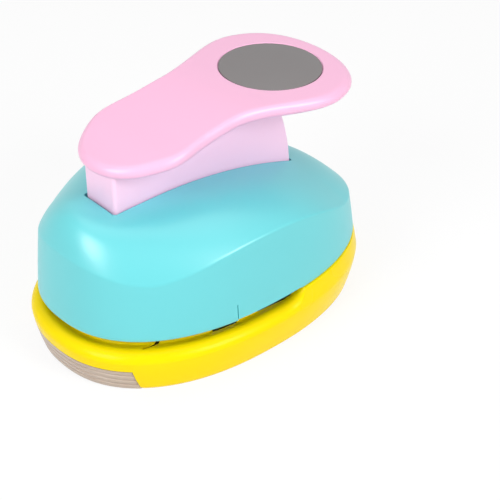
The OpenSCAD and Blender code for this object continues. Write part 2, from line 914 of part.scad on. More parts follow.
module top_cover() {
    color([0.52, 0.88, 0.91])
    difference() {
        union() {
            difference() {
                cover_solid(0, [0, 0.35, 0.65, 0.85, 1], [0.05, 0.11, 0.19, 0.29, 0.42, 0.6, 0.8, 1]);
                translate([0, 0, -join])
                    cover_inside(wall);
            }
            intersection() {
                cover_inside(wall - join);
                both_sides()
                    for (p = cover_screw_at) {
                        rod(p, z_seam + join, far, boss_screw_r);
                        box(p[0] - web_t / 2, p[0] + web_t / 2, p[1], far, z_seam + step_back, far);
                    }
            }
        }
        translate([0, 0, z_seam + slot_deep])
            linear_extrude(far)
                stem_plan(slot_front, slot_rear, stem_wid / 2 + slot_gap);
        both_sides()
            for (p = cover_screw_at)
                rod(p, 0, z_seam + boss_hole + screw_bite, fine_screw_r + press_gap);
        box(cut_mid - step_back, throat_at - spacer_gap, -far, far, 0, z_seam + step_h);
    }
}

module cover_screws() {
    top = deck_under + boss_sink;
    color([0.8, 0.8, 0.82])
    both_sides()
        for (p = cover_screw_at)
            difference() {
                union() {
                    rod(p, top - join, z_seam + boss_hole, fine_screw_r);
                    rod(p, top - head_h, top, head_r);
                }
                cross_cut(p, 0, top - head_h + cross_deep);
            }
}

lower_base();
chip_tray();
die_plate();
throat_spacer();
guide_plate();
frame_rivets();
die_screws();
pivot_bracket();
bracket_rivets();
pivot_pin();
pin_clips();
guide_posts();
post_clips();
return_spring_left();
return_spring_right();
punch_cutter();
punch_carrier();
punch_screws();
press_roller();
roller_pin();
handle_lever();
handle_inlay();
top_cover();
cover_screws();
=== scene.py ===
# A lever punch for paper circles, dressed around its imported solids.
# Sizes are in metres and come from the solids where they can. +X runs to the palm pad and +Z is up.
import json
import math

import bpy
from mathutils import Matrix, Vector


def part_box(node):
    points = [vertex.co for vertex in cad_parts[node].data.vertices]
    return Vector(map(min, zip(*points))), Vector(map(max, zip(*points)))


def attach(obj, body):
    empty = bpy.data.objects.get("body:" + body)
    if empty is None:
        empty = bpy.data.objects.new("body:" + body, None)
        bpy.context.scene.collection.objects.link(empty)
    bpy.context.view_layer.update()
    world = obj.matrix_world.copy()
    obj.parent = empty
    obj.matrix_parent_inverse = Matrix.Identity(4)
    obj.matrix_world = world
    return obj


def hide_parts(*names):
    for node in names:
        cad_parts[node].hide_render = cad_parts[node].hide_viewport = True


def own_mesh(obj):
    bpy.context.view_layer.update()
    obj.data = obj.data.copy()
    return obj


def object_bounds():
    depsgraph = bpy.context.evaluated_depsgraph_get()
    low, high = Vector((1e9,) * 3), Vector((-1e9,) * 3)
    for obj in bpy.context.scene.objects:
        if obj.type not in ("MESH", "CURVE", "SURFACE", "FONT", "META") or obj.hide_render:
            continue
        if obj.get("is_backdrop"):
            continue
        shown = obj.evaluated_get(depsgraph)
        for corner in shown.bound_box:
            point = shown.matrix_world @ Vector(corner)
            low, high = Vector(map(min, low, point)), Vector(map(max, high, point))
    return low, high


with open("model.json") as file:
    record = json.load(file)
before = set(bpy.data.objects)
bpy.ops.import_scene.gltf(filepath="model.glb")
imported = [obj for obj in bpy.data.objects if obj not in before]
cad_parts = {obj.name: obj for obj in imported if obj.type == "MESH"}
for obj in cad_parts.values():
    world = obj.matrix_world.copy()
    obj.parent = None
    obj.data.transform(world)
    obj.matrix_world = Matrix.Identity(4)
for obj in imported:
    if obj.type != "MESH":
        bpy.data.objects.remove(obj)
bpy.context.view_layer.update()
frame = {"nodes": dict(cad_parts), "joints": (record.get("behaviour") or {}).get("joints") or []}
nodes = frame["nodes"]


# Base moulding.
# An injection moulded oval in glossy yellow plastic, open underneath, with a full rounded lip.
# The paper runs over the lip and a shallow dish to the die, and the waste tray slides in at the front.
oval_power = 2.3
ring_points = 256
die_low, die_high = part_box("die_plate")
cutter_low, cutter_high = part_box("punch_cutter")
tray_low, tray_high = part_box("chip_tray")
seam_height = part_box("lower_base")[1].z
foot_long, foot_wide = 0.0635, 0.043
lip_out, seam_out, plate_out = 0.003, 0.0017, -0.0057
lip_round, dish_deep, dish_edge = 0.004, 0.0009, 0.0007
lip_height = die_high.z - 0.0002
bulge_height = lip_height - 0.003
shell = 0.0024
deck_under = 0.0112
free, lap, hair = 0.0003, 0.0001, 0.00003
above, beyond = 0.05, 0.15
throat_wall = 0.0036
cut_middle = (cutter_low.x + cutter_high.x) / 2
cut_radius = (cutter_high.y - cutter_low.y) / 2
throat_end = cut_middle + cut_radius + throat_wall
run_before, run_long, run_rise, run_power = 0.0085, 0.011, 0.008, 2.2
mouth_end = -foot_long + 0.0335


def oval_point(half_long, half_wide, turn):
    """A point of the oval outline at an angle."""
    along, across = math.cos(turn), math.sin(turn)
    return (math.copysign(abs(along) ** (2 / oval_power), along) * half_long,
            math.copysign(abs(across) ** (2 / oval_power), across) * half_wide)


def raise_rings(name, rings, grid_top=False):
    """Extrudes an oval loop through rings of (half length, half width, height) and closes the ends."""
    bpy.ops.object.select_all(action="DESELECT")
    bpy.ops.mesh.primitive_circle_add(vertices=ring_points, radius=1.0)
    made = bpy.context.object
    made.name = made.data.name = name
    half_long, half_wide, height = rings[0]
    for vertex in made.data.vertices:
        x, y = oval_point(half_long, half_wide, math.atan2(vertex.co.y, vertex.co.x))
        vertex.co = (x, y, height)
    bpy.ops.object.mode_set(mode="EDIT")
    bpy.ops.mesh.select_all(action="SELECT")
    for old, new in zip(rings, rings[1:]):
        bpy.ops.mesh.extrude_region_move(TRANSFORM_OT_translate={"value": (0, 0, new[2] - old[2])})
        bpy.ops.transform.resize(value=(new[0] / old[0], new[1] / old[1], 1), center_override=(0, 0, new[2]))
    if grid_top:
        bpy.ops.mesh.fill_grid(span=ring_points // 4)
    bpy.ops.mesh.select_all(action="SELECT")
    bpy.ops.mesh.fill_holes(sides=0)
    bpy.ops.mesh.normals_make_consistent(inside=False)
    bpy.ops.object.mode_set(mode="OBJECT")
    return made


def foot_rings(profile):
    """Rings at steps of (distance out from the foot's outline, height)."""
    return [(foot_long + out, foot_wide + out, height) for out, height in profile]


def block(low, high):
    """A box between two corners, with its place in its mesh."""
    bpy.ops.object.select_all(action="DESELECT")
    bpy.ops.mesh.primitive_cube_add(size=1.0)
    made = bpy.context.object
    for vertex in made.data.vertices:
        vertex.co = [l + (h - l) * (c + 0.5) for l, h, c in zip(low, high, vertex.co)]
    return made


def peg(x, y, low, high, radius):
    """An upright round bar."""
    bpy.ops.object.select_all(action="DESELECT")
    bpy.ops.mesh.primitive_cylinder_add(vertices=128, radius=radius, depth=high - low)
    made = bpy.context.object
    for vertex in made.data.vertices:
        vertex.co += Vector((x, y, (low + high) / 2))
    return made


def slab(outline, low, high, plan):
    """A slab with an outline of points: a plan between two heights, or a side view across the width."""
    bpy.ops.object.select_all(action="DESELECT")
    bpy.ops.mesh.primitive_circle_add(vertices=len(outline), radius=1.0, fill_type="NGON")
    made = bpy.context.object
    for vertex, (x, other) in zip(made.data.vertices, outline):
        vertex.co = (x, other, low) if plan else (x, low, other)
    bpy.ops.object.mode_set(mode="EDIT")
    bpy.ops.mesh.select_all(action="SELECT")
    move = (0, 0, high - low) if plan else (0, high - low, 0)
    bpy.ops.mesh.extrude_region_move(TRANSFORM_OT_translate={"value": move})
    bpy.ops.mesh.select_all(action="SELECT")
    bpy.ops.mesh.normals_make_consistent(inside=False)
    bpy.ops.object.mode_set(mode="OBJECT")
    return made


def carve(piece, tool, operation="DIFFERENCE"):
    """Cuts the tool out of a piece, or joins or crosses the two.

    It works in millimetres, which keeps the seams closed.
    """
    for solid in (piece, tool):
        solid.data.transform(Matrix.Scale(1000.0, 4))
    change = piece.modifiers.new("carve", "BOOLEAN")
    change.operation = operation
    change.object = tool
    change.solver = "EXACT"
    seam = piece.modifiers.new("seam", "WELD")
    seam.merge_threshold = 0.0005
    bpy.context.view_layer.objects.active = piece
    bpy.ops.object.modifier_apply(modifier=change.name)
    bpy.ops.object.modifier_apply(modifier=seam.name)
    bpy.data.objects.remove(tool, do_unlink=True)
    piece.data.transform(Matrix.Scale(0.001, 4))


def finish_shape(piece, angle=32):
    """Cleans the cuts, smooths the shading of the round stretches and keeps the edges."""
    bpy.ops.object.select_all(action="DESELECT")
    piece.select_set(True)
    bpy.context.view_layer.objects.active = piece
    bpy.ops.object.mode_set(mode="EDIT")
    bpy.ops.mesh.select_all(action="SELECT")
    bpy.ops.mesh.remove_doubles(threshold=0.000002)
    bpy.ops.mesh.dissolve_degenerate(threshold=0.000002)
    bpy.ops.object.mode_set(mode="OBJECT")
    bpy.ops.object.shade_smooth_by_angle(angle=math.radians(angle))


def wall_out(height):
    """How far the flared wall stands out from the foot at a height."""
    if height < bulge_height:
        return lip_out * (1 - (1 - max(0.0, height) / bulge_height) ** 1.4)
    return lip_out - (lip_out - seam_out) * (height - bulge_height) / (seam_height - bulge_height)


def under_room():
    """The hollow under the deck, which follows the wall."""
    steps = [(wall_out(h) - shell, h) for h in [deck_under * u / 8 for u in range(1, 9)]]
    return raise_rings("under_room", foot_rings([(-shell - 0.0002, -0.0009)] + steps))


def inner_block(name):
    """The base shrunk by half its wall, which bounds what is moulded on inside the wall."""
    steps = [0.0003, 0.002, 0.004, 0.006, 0.008, 0.01, 0.0125]
    return raise_rings(name, foot_rings([(wall_out(h) - shell / 2, h) for h in steps]))


def throat_room(drop=0.0):
    """The space over the lip and the dish, let down by a drop.

    Its floor rises towards the rear until the lip runs into the wall.
    """
    lip_low = lip_height - lip_round
    lip_middle = wall_out(lip_low) - lip_round + 0.00005
    die_out, die_height = plate_out + free - lap, die_high.z - lap
    dish_out, dish_height = die_out + dish_edge, lip_height - dish_deep
    dish_wide = lip_middle - dish_out
    profile = [(-0.03, die_height)]
    for step in range(8):
        fall = (1 + math.cos(math.pi * step / 8)) / 2
        height = dish_height + (die_height - dish_height) * fall
        profile.append((die_out + (dish_out - die_out) * step / 8, height))
    for step in range(10):
        rise = (1 - math.cos(math.pi * step / 10)) / 2
        profile.append((dish_out + dish_wide * step / 10, dish_height + dish_deep * rise))
    for step in range(19):
        turn = math.radians(90 - 5 * step)
        profile.append((lip_middle + lip_round * math.cos(turn), lip_low + lip_round * math.sin(turn)))
    profile += [(0.009, lip_low), (0.009, seam_height + 0.014)]
    room = raise_rings("throat_room", foot_rings(profile))
    for vertex in room.data.vertices:
        if abs(vertex.co.y) > 0.02 or vertex.co.x > foot_long - 0.02:
            run = min(1.2, max(0.0, (vertex.co.x - throat_end + run_before) / run_long))
            if vertex.co.z < seam_height + 0.013:
                vertex.co.z += run_rise * run ** run_power
        vertex.co.z -= drop
    return room


foot_edge = [(-0.0009, 0.0), (-0.00055, 0.00012), (-0.0003, 0.0004)]
wall_heights = [bulge_height * u / 20 for u in range(2, 21)]
wall_heights += [lip_height - 0.0015, lip_height, lip_height + 0.0015]
seam_edge = [(seam_out, seam_height - 0.0003), (seam_out - lap, seam_height - lap),
             (seam_out - 0.0003, seam_height)]
base_profile = foot_edge + [(wall_out(h), h) for h in wall_heights] + seam_edge
base = raise_rings("base_moulding", foot_rings(base_profile))
carve(base, under_room())
carve(base, throat_room())
mouth_low = (-beyond, tray_low.y - free, -0.01)
carve(base, block(mouth_low, (mouth_end, tray_high.y + free, tray_high.z + free)))
carve(base, raise_rings("plate_bed", foot_rings([(plate_out + free, h) for h in (die_low.z, above)])))
rear_out = seam_out - shell - free
rear_room = raise_rings("rear_room", foot_rings([(rear_out, h) for h in (die_low.z, above)]))
carve(rear_room, block((throat_end + throat_wall, -0.1, 0.0), (0.1, 0.1, 0.06)), "INTERSECT")
carve(base, rear_room)

rail_thick, rail_low, rail_top = 0.0026, 0.0005, deck_under + lap
rail_near, rail_far = tray_high.y + free, tray_high.y + free + rail_thick
ledge, ledge_thick, tray_side_drop = 0.0022, 0.0008, 0.0012
ledge_low = tray_high.z - tray_side_drop + free
strip_share = 1 - (tray_high.y / (foot_wide - shell)) ** oval_power
strip_back = -(foot_long - shell) * strip_share ** (1 / oval_power)
stop, stop_thick = tray_high.x + 0.005, 0.002
for side in (-1, 1):
    for x, near, far, bottom, top in (
        (strip_back - rail_thick, rail_near + hair, rail_far, rail_low, rail_top),
        (strip_back + shell, rail_near - ledge, rail_near + 0.0004, rail_low + hair, rail_low + ledge_thick),
        (strip_back + shell, rail_near - ledge, rail_near + 0.0005, ledge_low, rail_top + hair),
    ):
        across = sorted((side * near, side * far))
        runner = block((x, across[0], bottom), (stop + (far - rail_near) / 2, across[1], top))
        carve(runner, inner_block("runner_limit"), "INTERSECT")
        carve(base, runner, "UNION")
stop_low = (stop, -rail_far - hair, rail_low - hair)
stop_high = (stop + stop_thick, rail_far + hair, rail_top + 2 * hair)
carve(base, block(stop_low, stop_high), "UNION")

boss_radius, screw_radius, head_radius, head_deep = 0.0036, 0.0016, 0.0031, 0.0012
screw_places = [(x, side * y) for side in (-1, 1)
                for x, y in ((throat_end + 0.013, foot_wide - 0.0088), (foot_long - 0.016, 0.017))]
for x, y in screw_places:
    carve(base, peg(x, y, die_low.z - lap, seam_height - lap, boss_radius), "UNION")
    carve(base, peg(x, y, deck_under - lap, above, screw_radius))
    carve(base, peg(x, y, rail_low, deck_under + head_deep, head_radius))
screw_ring, screw_turn = cut_radius + 0.01, math.radians(137)
for side in (-1, 1):
    for x, y in ((cut_middle + screw_ring * math.cos(screw_turn), screw_ring * math.sin(screw_turn)),
                 (throat_end + 0.004, 0.007)):
        carve(base, peg(x, side * y, deck_under - lap, above, screw_radius))
drop_gap = 0.0011
carve(base, peg(cut_middle, 0.0, 0.0, above, cut_radius + drop_gap))

# Openings in the dish on each side: a slit in a thin skin, a notch beside the die, a channel at the rear end.
slit_front, slit_rear, slit_skin = -foot_long + 0.0146, -foot_long + 0.022, 0.0003
slit_sides, pocket_sides = (0.014, 0.0149), (0.01324, 0.0183)
notch_front, notch_rear, notch_out = cut_middle - 0.0085, cut_middle + 0.0015, plate_out + 0.0013
notch_low, channel_low = die_low.z - 0.0015, die_low.z - 0.0005
channel = [(-0.004, 0.036), (-0.004, 0.0381), (0.004, 0.0387), (0.009, 0.0398), (0.0121, 0.0407),
           (0.0131, 0.0404), (0.0137, 0.0393), (0.0137, 0.036)]
for side in (-1, 1):
    across = sorted(side * (foot_wide - inward) for inward in pocket_sides)
    pocket_low = (slit_front + 0.0003, across[0], deck_under - 0.0012)
    pocket = block(pocket_low, (slit_rear - lap, across[1], lip_height))
    carve(pocket, throat_room(slit_skin))
    carve(base, pocket)
    across = sorted(side * (foot_wide - inward) for inward in slit_sides)
    carve(base, block((slit_front, across[0], deck_under - 0.001), (slit_rear, across[1], above)))
    notch = raise_rings("edge_notch", foot_rings([(notch_out, h) for h in (notch_low, above)]))
    across = sorted((side * (foot_wide - 0.011), side * foot_wide))
    carve(notch, block((notch_front, across[0], 0.0), (notch_rear, across[1], 0.06)), "INTERSECT")
    carve(base, notch)
    carve(base, slab([(x, side * y) for x, y in channel], channel_low, above, True))
finish_shape(base)
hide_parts("lower_base")
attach(base, "housing")


# Finish of the mouldings.
# Glossy plastic straight from a polished tool: the colour drifts a little where the melt flowed,
# and the gloss is uneven where the punch has been handled.
def moulded_skin():
    """Shader group: drifting colour, uneven gloss and a faint wavy height."""
    group = bpy.data.node_groups.new("moulded_skin", "ShaderNodeTree")
    sockets = group.interface
    sockets.new_socket("Colour", in_out="INPUT", socket_type="NodeSocketColor")
    sockets.new_socket("Deep colour", in_out="INPUT", socket_type="NodeSocketColor")
    sockets.new_socket("Gloss low", in_out="INPUT", socket_type="NodeSocketFloat")
    sockets.new_socket("Gloss high", in_out="INPUT", socket_type="NodeSocketFloat")
    sockets.new_socket("Colour", in_out="OUTPUT", socket_type="NodeSocketColor")
    sockets.new_socket("Roughness", in_out="OUTPUT", socket_type="NodeSocketFloat")
    sockets.new_socket("Height", in_out="OUTPUT", socket_type="NodeSocketFloat")
    new = group.nodes.new
    link = group.links.new
    start = new("NodeGroupInput")
    end = new("NodeGroupOutput")
    place = new("ShaderNodeTexCoord")
    flow = new("ShaderNodeTexNoise")
    flow.inputs["Scale"].default_value = 16.0
    flow.inputs["Detail"].default_value = 2.0
    drift = new("ShaderNodeMix")
    drift.data_type = "RGBA"
    smear = new("ShaderNodeTexNoise")
    smear.inputs["Scale"].default_value = 26.0
    smear.inputs["Detail"].default_value = 1.0
    gloss = new("ShaderNodeMapRange")
    gloss.inputs["From Min"].default_value = 0.3
    gloss.inputs["From Max"].default_value = 0.7
    ripple = new("ShaderNodeTexNoise")
    ripple.inputs["Scale"].default_value = 160.0
    ripple.inputs["Detail"].default_value = 1.0
    for texture in (flow, smear, ripple):
        link(place.outputs["Object"], texture.inputs["Vector"])
    link(flow.outputs["Fac"], drift.inputs["Factor"])
    link(start.outputs["Colour"], drift.inputs["A"])
    link(start.outputs["Deep colour"], drift.inputs["B"])
    link(smear.outputs["Fac"], gloss.inputs["Value"])
    link(start.outputs["Gloss low"], gloss.inputs["To Min"])
    link(start.outputs["Gloss high"], gloss.inputs["To Max"])
    link(drift.outputs["Result"], end.inputs["Colour"])
    link(gloss.outputs["Result"], end.inputs["Roughness"])
    link(ripple.outputs["Fac"], end.inputs["Height"])
    return group


moulded = moulded_skin()


def plastic(name, colour, deep, gloss, ripple=0.006, shine=0.4):
    """A moulded plastic: its colours, its range of gloss, the depth of its skin and how much it mirrors."""
    material = bpy.data.materials.new(name)
    material.use_nodes = True
    shader = material.node_tree.nodes["Principled BSDF"]
    skin = material.node_tree.nodes.new("ShaderNodeGroup")
    skin.node_tree = moulded
    skin.inputs["Colour"].default_value = (*colour, 1)
    skin.inputs["Deep colour"].default_value = (*deep, 1)
    skin.inputs["Gloss low"].default_value = gloss[0]
    skin.inputs["Gloss high"].default_value = gloss[1]
    bump = material.node_tree.nodes.new("ShaderNodeBump")
    bump.inputs["Strength"].default_value = ripple
    bump.inputs["Distance"].default_value = 0.0002
    link = material.node_tree.links.new
    link(skin.outputs["Colour"], shader.inputs["Base Color"])
    link(skin.outputs["Roughness"], shader.inputs["Roughness"])
    link(skin.outputs["Height"], bump.inputs["Height"])
    link(bump.outputs["Normal"], shader.inputs["Normal"])
    shader.inputs["IOR"].default_value = 1.5
    shader.inputs["Specular IOR Level"].default_value = shine
    return material


def wear(piece, material):
    """Gives a piece one finish all over."""
    piece.data.materials.clear()
    piece.data.materials.append(material)


yellow = plastic("yellow_moulding", (1.0, 0.75, 0.001), (0.99, 0.735, 0.001), (0.24, 0.28), shine=0.1)
wear(base, yellow)


# Waste tray.
# A thin tinted tray that slides in under the deck. Its front carries on the curve of the base
# and has three fine lines moulded along it.
groove_heights = [tray_low.z + (tray_high.z - tray_low.z) * share for share in (0.26, 0.52, 0.78)]
groove_deep, groove_wide = 0.0006, 0.0003
tray_profile = [(-0.0009, 0.0), (-0.0003, 0.0004)]
for height in [tray_high.z * u / 60 for u in range(4, 72)]:
    dip = max(math.exp(-(((height - groove) / groove_wide) ** 2)) for groove in groove_heights)
    tray_profile.append((wall_out(height) - groove_deep * dip, height))
tray = raise_rings("tray_moulding", foot_rings(tray_profile))
carve(tray, block((-beyond, tray_low.y, tray_low.z), (mouth_end, tray_high.y, tray_high.z)), "INTERSECT")
carve(tray, under_room())
floor_low, floor_thick, side_top, side_thick = 0.0016, 0.0012, tray_high.z - tray_side_drop, 0.0013
for low, high in (
    ((-beyond, tray_low.y, floor_low), (tray_high.x, tray_high.y, floor_low + floor_thick)),
    ((strip_back - rail_thick, tray_low.y, floor_low), (tray_high.x, tray_low.y + side_thick, side_top)),
    ((strip_back - rail_thick, tray_high.y - side_thick, floor_low), (tray_high.x, tray_high.y, side_top)),
    ((tray_high.x - side_thick, tray_low.y, floor_low), (tray_high.x, tray_high.y, side_top)),
):
    board = block(low, high)
    carve(board, inner_block("board_limit"), "INTERSECT")
    carve(tray, board, "UNION")
finish_shape(tray)
tray_tint = plastic("tinted_tray", (0.56, 0.45, 0.37), (0.5, 0.4, 0.325), (0.2, 0.28))
wear(tray, tray_tint)
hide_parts("chip_tray")
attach(tray, "tray")


# Frame, cutter, pins and fixings.
# Rolled and ground steel: fine lines along the grain catch the light and break up the gloss.
# The clips are blackened and the cutter's carrier is plain white nylon.
def steel_grain():
    """Shader group: long fine lines of shade and roughness."""
    group = bpy.data.node_groups.new("steel_grain", "ShaderNodeTree")
    sockets = group.interface
    sockets.new_socket("Colour", in_out="INPUT", socket_type="NodeSocketColor")
    sockets.new_socket("Dark colour", in_out="INPUT", socket_type="NodeSocketColor")
    sockets.new_socket("Colour", in_out="OUTPUT", socket_type="NodeSocketColor")
    sockets.new_socket("Roughness", in_out="OUTPUT", socket_type="NodeSocketFloat")
    sockets.new_socket("Height", in_out="OUTPUT", socket_type="NodeSocketFloat")
    new = group.nodes.new
    link = group.links.new
    start = new("NodeGroupInput")
    end = new("NodeGroupOutput")
    place = new("ShaderNodeTexCoord")
    stretch = new("ShaderNodeMapping")
    stretch.inputs["Scale"].default_value = (60.0, 2400.0, 1500.0)
    lines = new("ShaderNodeTexNoise")
    lines.inputs["Scale"].default_value = 1.0
    lines.inputs["Detail"].default_value = 5.0
    shade = new("ShaderNodeMix")
    shade.data_type = "RGBA"
    rough = new("ShaderNodeMapRange")
    rough.inputs["To Min"].default_value = 0.24
    rough.inputs["To Max"].default_value = 0.46
    link(place.outputs["Object"], stretch.inputs["Vector"])
    link(stretch.outputs["Vector"], lines.inputs["Vector"])
    link(lines.outputs["Fac"], shade.inputs["Factor"])
    link(start.outputs["Colour"], shade.inputs["A"])
    link(start.outputs["Dark colour"], shade.inputs["B"])
    link(lines.outputs["Fac"], rough.inputs["Value"])
    link(shade.outputs["Result"], end.inputs["Colour"])
    link(rough.outputs["Result"], end.inputs["Roughness"])
    link(lines.outputs["Fac"], end.inputs["Height"])
    return group


grained = steel_grain()


def steel(name, colour, dark):
    """A steel with its lighter and darker shade."""
    material = bpy.data.materials.new(name)
    material.use_nodes = True
    shader = material.node_tree.nodes["Principled BSDF"]
    grain = material.node_tree.nodes.new("ShaderNodeGroup")
    grain.node_tree = grained
    grain.inputs["Colour"].default_value = (*colour, 1)
    grain.inputs["Dark colour"].default_value = (*dark, 1)
    bump = material.node_tree.nodes.new("ShaderNodeBump")
    bump.inputs["Strength"].default_value = 0.08
    bump.inputs["Distance"].default_value = 0.0001
    link = material.node_tree.links.new
    link(grain.outputs["Colour"], shader.inputs["Base Color"])
    link(grain.outputs["Roughness"], shader.inputs["Roughness"])
    link(grain.outputs["Height"], bump.inputs["Height"])
    link(bump.outputs["Normal"], shader.inputs["Normal"])
    shader.inputs["Metallic"].default_value = 1.0
    return material


plate_steel = steel("plate_steel", (0.42, 0.43, 0.45), (0.3, 0.31, 0.33))
die_steel = steel("die_steel", (0.34, 0.35, 0.37), (0.22, 0.23, 0.25))
bright_steel = steel("bright_steel", (0.62, 0.63, 0.65), (0.5, 0.51, 0.53))
dark_steel = steel("blackened_steel", (0.06, 0.06, 0.07), (0.03, 0.03, 0.035))
white_nylon = plastic("white_nylon", (0.82, 0.82, 0.79), (0.78, 0.78, 0.75), (0.4, 0.5))
for name in ("die_plate", "throat_spacer", "punch_cutter"):
    wear(nodes[name], die_steel)
for name in ("guide_plate", "pivot_bracket", "press_roller"):
    wear(nodes[name], plate_steel)
for name in ("frame_rivets", "die_screws", "bracket_rivets", "pivot_pin", "guide_posts", "punch_screws",
             "roller_pin", "cover_screws"):
    wear(nodes[name], bright_steel)
for name in ("pin_clips", "post_clips"):
    wear(nodes[name], dark_steel)
wear(nodes["punch_carrier"], white_nylon)


# Return springs.
# Each is one coil of round drawn wire about a guide post, pressed together by the cutter's carrier.
spring_steel = steel("spring_steel", (0.5, 0.51, 0.53), (0.4, 0.41, 0.43))
wire, curls, stroke = 0.0011, 5, 0.0055
for name in ("return_spring_left", "return_spring_right"):
    low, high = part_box(name)
    middle = (low + high) / 2
    bpy.ops.object.select_all(action="DESELECT")
    bpy.ops.mesh.primitive_circle_add(vertices=16, radius=wire / 2)
    spring = bpy.context.object
    spring.name = spring.data.name = name.replace("return_spring", "spring_coil")
    for vertex in spring.data.vertices:
        vertex.co = ((high.x - low.x - wire) / 2 + vertex.co.x, 0.0, vertex.co.y)
    coil = spring.modifiers.new("coil", "SCREW")
    coil.screw_offset = (high.z - low.z - wire) / curls
    coil.iterations = curls
    coil.steps = coil.render_steps = 40
    bpy.ops.object.modifier_apply(modifier=coil.name)
    for vertex in spring.data.vertices:
        vertex.co += Vector((middle.x, middle.y, low.z + wire / 2))
    bpy.ops.object.mode_set(mode="EDIT")
    bpy.ops.mesh.select_all(action="SELECT")
    bpy.ops.mesh.fill_holes(sides=0)
    bpy.ops.mesh.normals_make_consistent(inside=False)
    bpy.ops.object.mode_set(mode="OBJECT")
    bpy.ops.object.shade_smooth_by_angle(angle=math.radians(40))
    wear(spring, spring_steel)
    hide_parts(name)
    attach(spring, "housing")
    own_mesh(spring)


# Lever.
# One moulding in pink plastic: a spoon shaped hand plate with fully rounded edges on a deep hollow stem.
# The stem turns on the pivot pin, and its rear face is an arc about that pin so that the slot stays filled.
# Below the plate the stem is painted a paler pink: painted light, standing in for the brighter light that
# falls on its sides.
lever_low, lever_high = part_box("handle_lever")
disc_low, disc_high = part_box("handle_inlay")
roller_low, roller_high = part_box("press_roller")
hand_front, hand_rear, hand_height = lever_low.x, lever_high.x, lever_high.z
plate_front = hand_front + 0.001
hand_middle, hand_half = (plate_front + hand_rear) / 2, (hand_rear - plate_front) / 2
hand_thick = 0.005
neck_half, pad_extra = 0.0208, 0.0112
front_drop, front_dip, pad_slope = 0.006, 0.002, 0.03
pad_middle = (disc_low.x + disc_high.x) / 2
disc_radius = (disc_high.y - disc_low.y) / 2
pad_flat = pad_middle - disc_radius - 0.003
hand_points = 192
pivot_x, _, pivot_z = frame["joints"][0]["pos_m"]
roller_z = (roller_low.z + roller_high.z) / 2
roller_wide = roller_high.z - roller_low.z
press_z = roller_low.z - 0.00015
stem_half, stem_front, stem_reach = 0.0085, hand_front + 0.0045, 0.0786
slot_rear = pivot_x + stem_reach + 0.001


def ease(t):
    """Runs smoothly from 0 to 1."""
    t = min(1.0, max(0.0, t))
    return t * t * (3 - 2 * t)


def hand_half_wide(x):
    """Half width of the hand plate along its length."""
    lobe = 0.0022 * math.exp(-(((x - hand_front - 0.021) / 0.01) ** 2))
    pad = pad_extra * ease((x - hand_rear + 0.062) / 0.042)
    return (neck_half + lobe + pad) * math.sqrt(1 - min(1.0, abs(x - hand_middle) / hand_half) ** 5)


def hand_top(x):
    """Height of the top of the hand plate along its length."""
    droop = front_drop * ease((hand_front + 0.058 - x) / 0.05)
    dip = front_dip * ease((hand_front + 0.02 - x) / 0.02)
    return hand_height - (droop + dip) - pad_slope * max(0.0, x - pad_flat)


def roll_edge(way):
    """Extrudes the plate's outline up or down round its full edge and closes the face with a grid."""
    last_in = last_down = 0.0
    for step in range(1, 11):
        turn = math.radians(9 * step)
        now_in = hand_thick / 2 * (1 - math.cos(turn))
        now_down = way * hand_thick / 2 * math.sin(turn)
        bpy.ops.mesh.extrude_region_move(TRANSFORM_OT_translate={"value": (0, 0, now_down - last_down)})
        shrink = [(size - now_in) / (size - last_in) for size in (hand_half, neck_half + pad_extra / 2)]
        bpy.ops.transform.resize(value=(*shrink, 1), center_override=(hand_middle, 0, now_down))
        last_in, last_down = now_in, now_down
    bpy.ops.mesh.fill_grid(span=hand_points // 4)


def cross_peg(x, z, half, radius):
    """A round bar across the width."""
    made = peg(0.0, 0.0, -half, half, radius)
    for vertex in made.data.vertices:
        vertex.co = (x + vertex.co.x, vertex.co.z, z - vertex.co.y)
    return made


def soften(piece, wanted, size):
    """Rounds the edges whose two ends pass a test."""
    bpy.ops.object.select_all(action="DESELECT")
    piece.select_set(True)
    bpy.context.view_layer.objects.active = piece
    bpy.ops.object.mode_set(mode="EDIT")
    bpy.ops.mesh.select_mode(type="EDGE")
    bpy.ops.mesh.select_all(action="DESELECT")
    bpy.ops.object.mode_set(mode="OBJECT")
    for edge in piece.data.edges:
        first, second = [piece.data.vertices[i].co for i in edge.vertices]
        edge.select = wanted(first) and wanted(second) and abs(first.y - second.y) < size
    bpy.ops.object.mode_set(mode="EDIT")
    bpy.ops.mesh.bevel(offset=size, segments=6, affect="EDGES")
    bpy.ops.mesh.select_mode(type="VERT")
    bpy.ops.object.mode_set(mode="OBJECT")


bpy.ops.object.select_all(action="DESELECT")
bpy.ops.mesh.primitive_circle_add(vertices=hand_points, radius=1.0)
lever = bpy.context.object
lever.name = lever.data.name = "lever_moulding"
for vertex in lever.data.vertices:
    x = hand_middle + hand_half * vertex.co.x
    vertex.co = (x, math.copysign(hand_half_wide(x), vertex.co.y) if abs(vertex.co.y) > 1e-5 else 0.0, 0.0)
bpy.ops.object.mode_set(mode="EDIT")
bpy.ops.mesh.select_all(action="SELECT")
roll_edge(1)
bpy.ops.mesh.select_all(action="DESELECT")
bpy.ops.mesh.select_non_manifold()
roll_edge(-1)
bpy.ops.mesh.select_all(action="SELECT")
bpy.ops.mesh.normals_make_consistent(inside=False)
bpy.ops.object.mode_set(mode="OBJECT")
for vertex in lever.data.vertices:
    vertex.co.z += hand_top(vertex.co.x) - hand_thick / 2

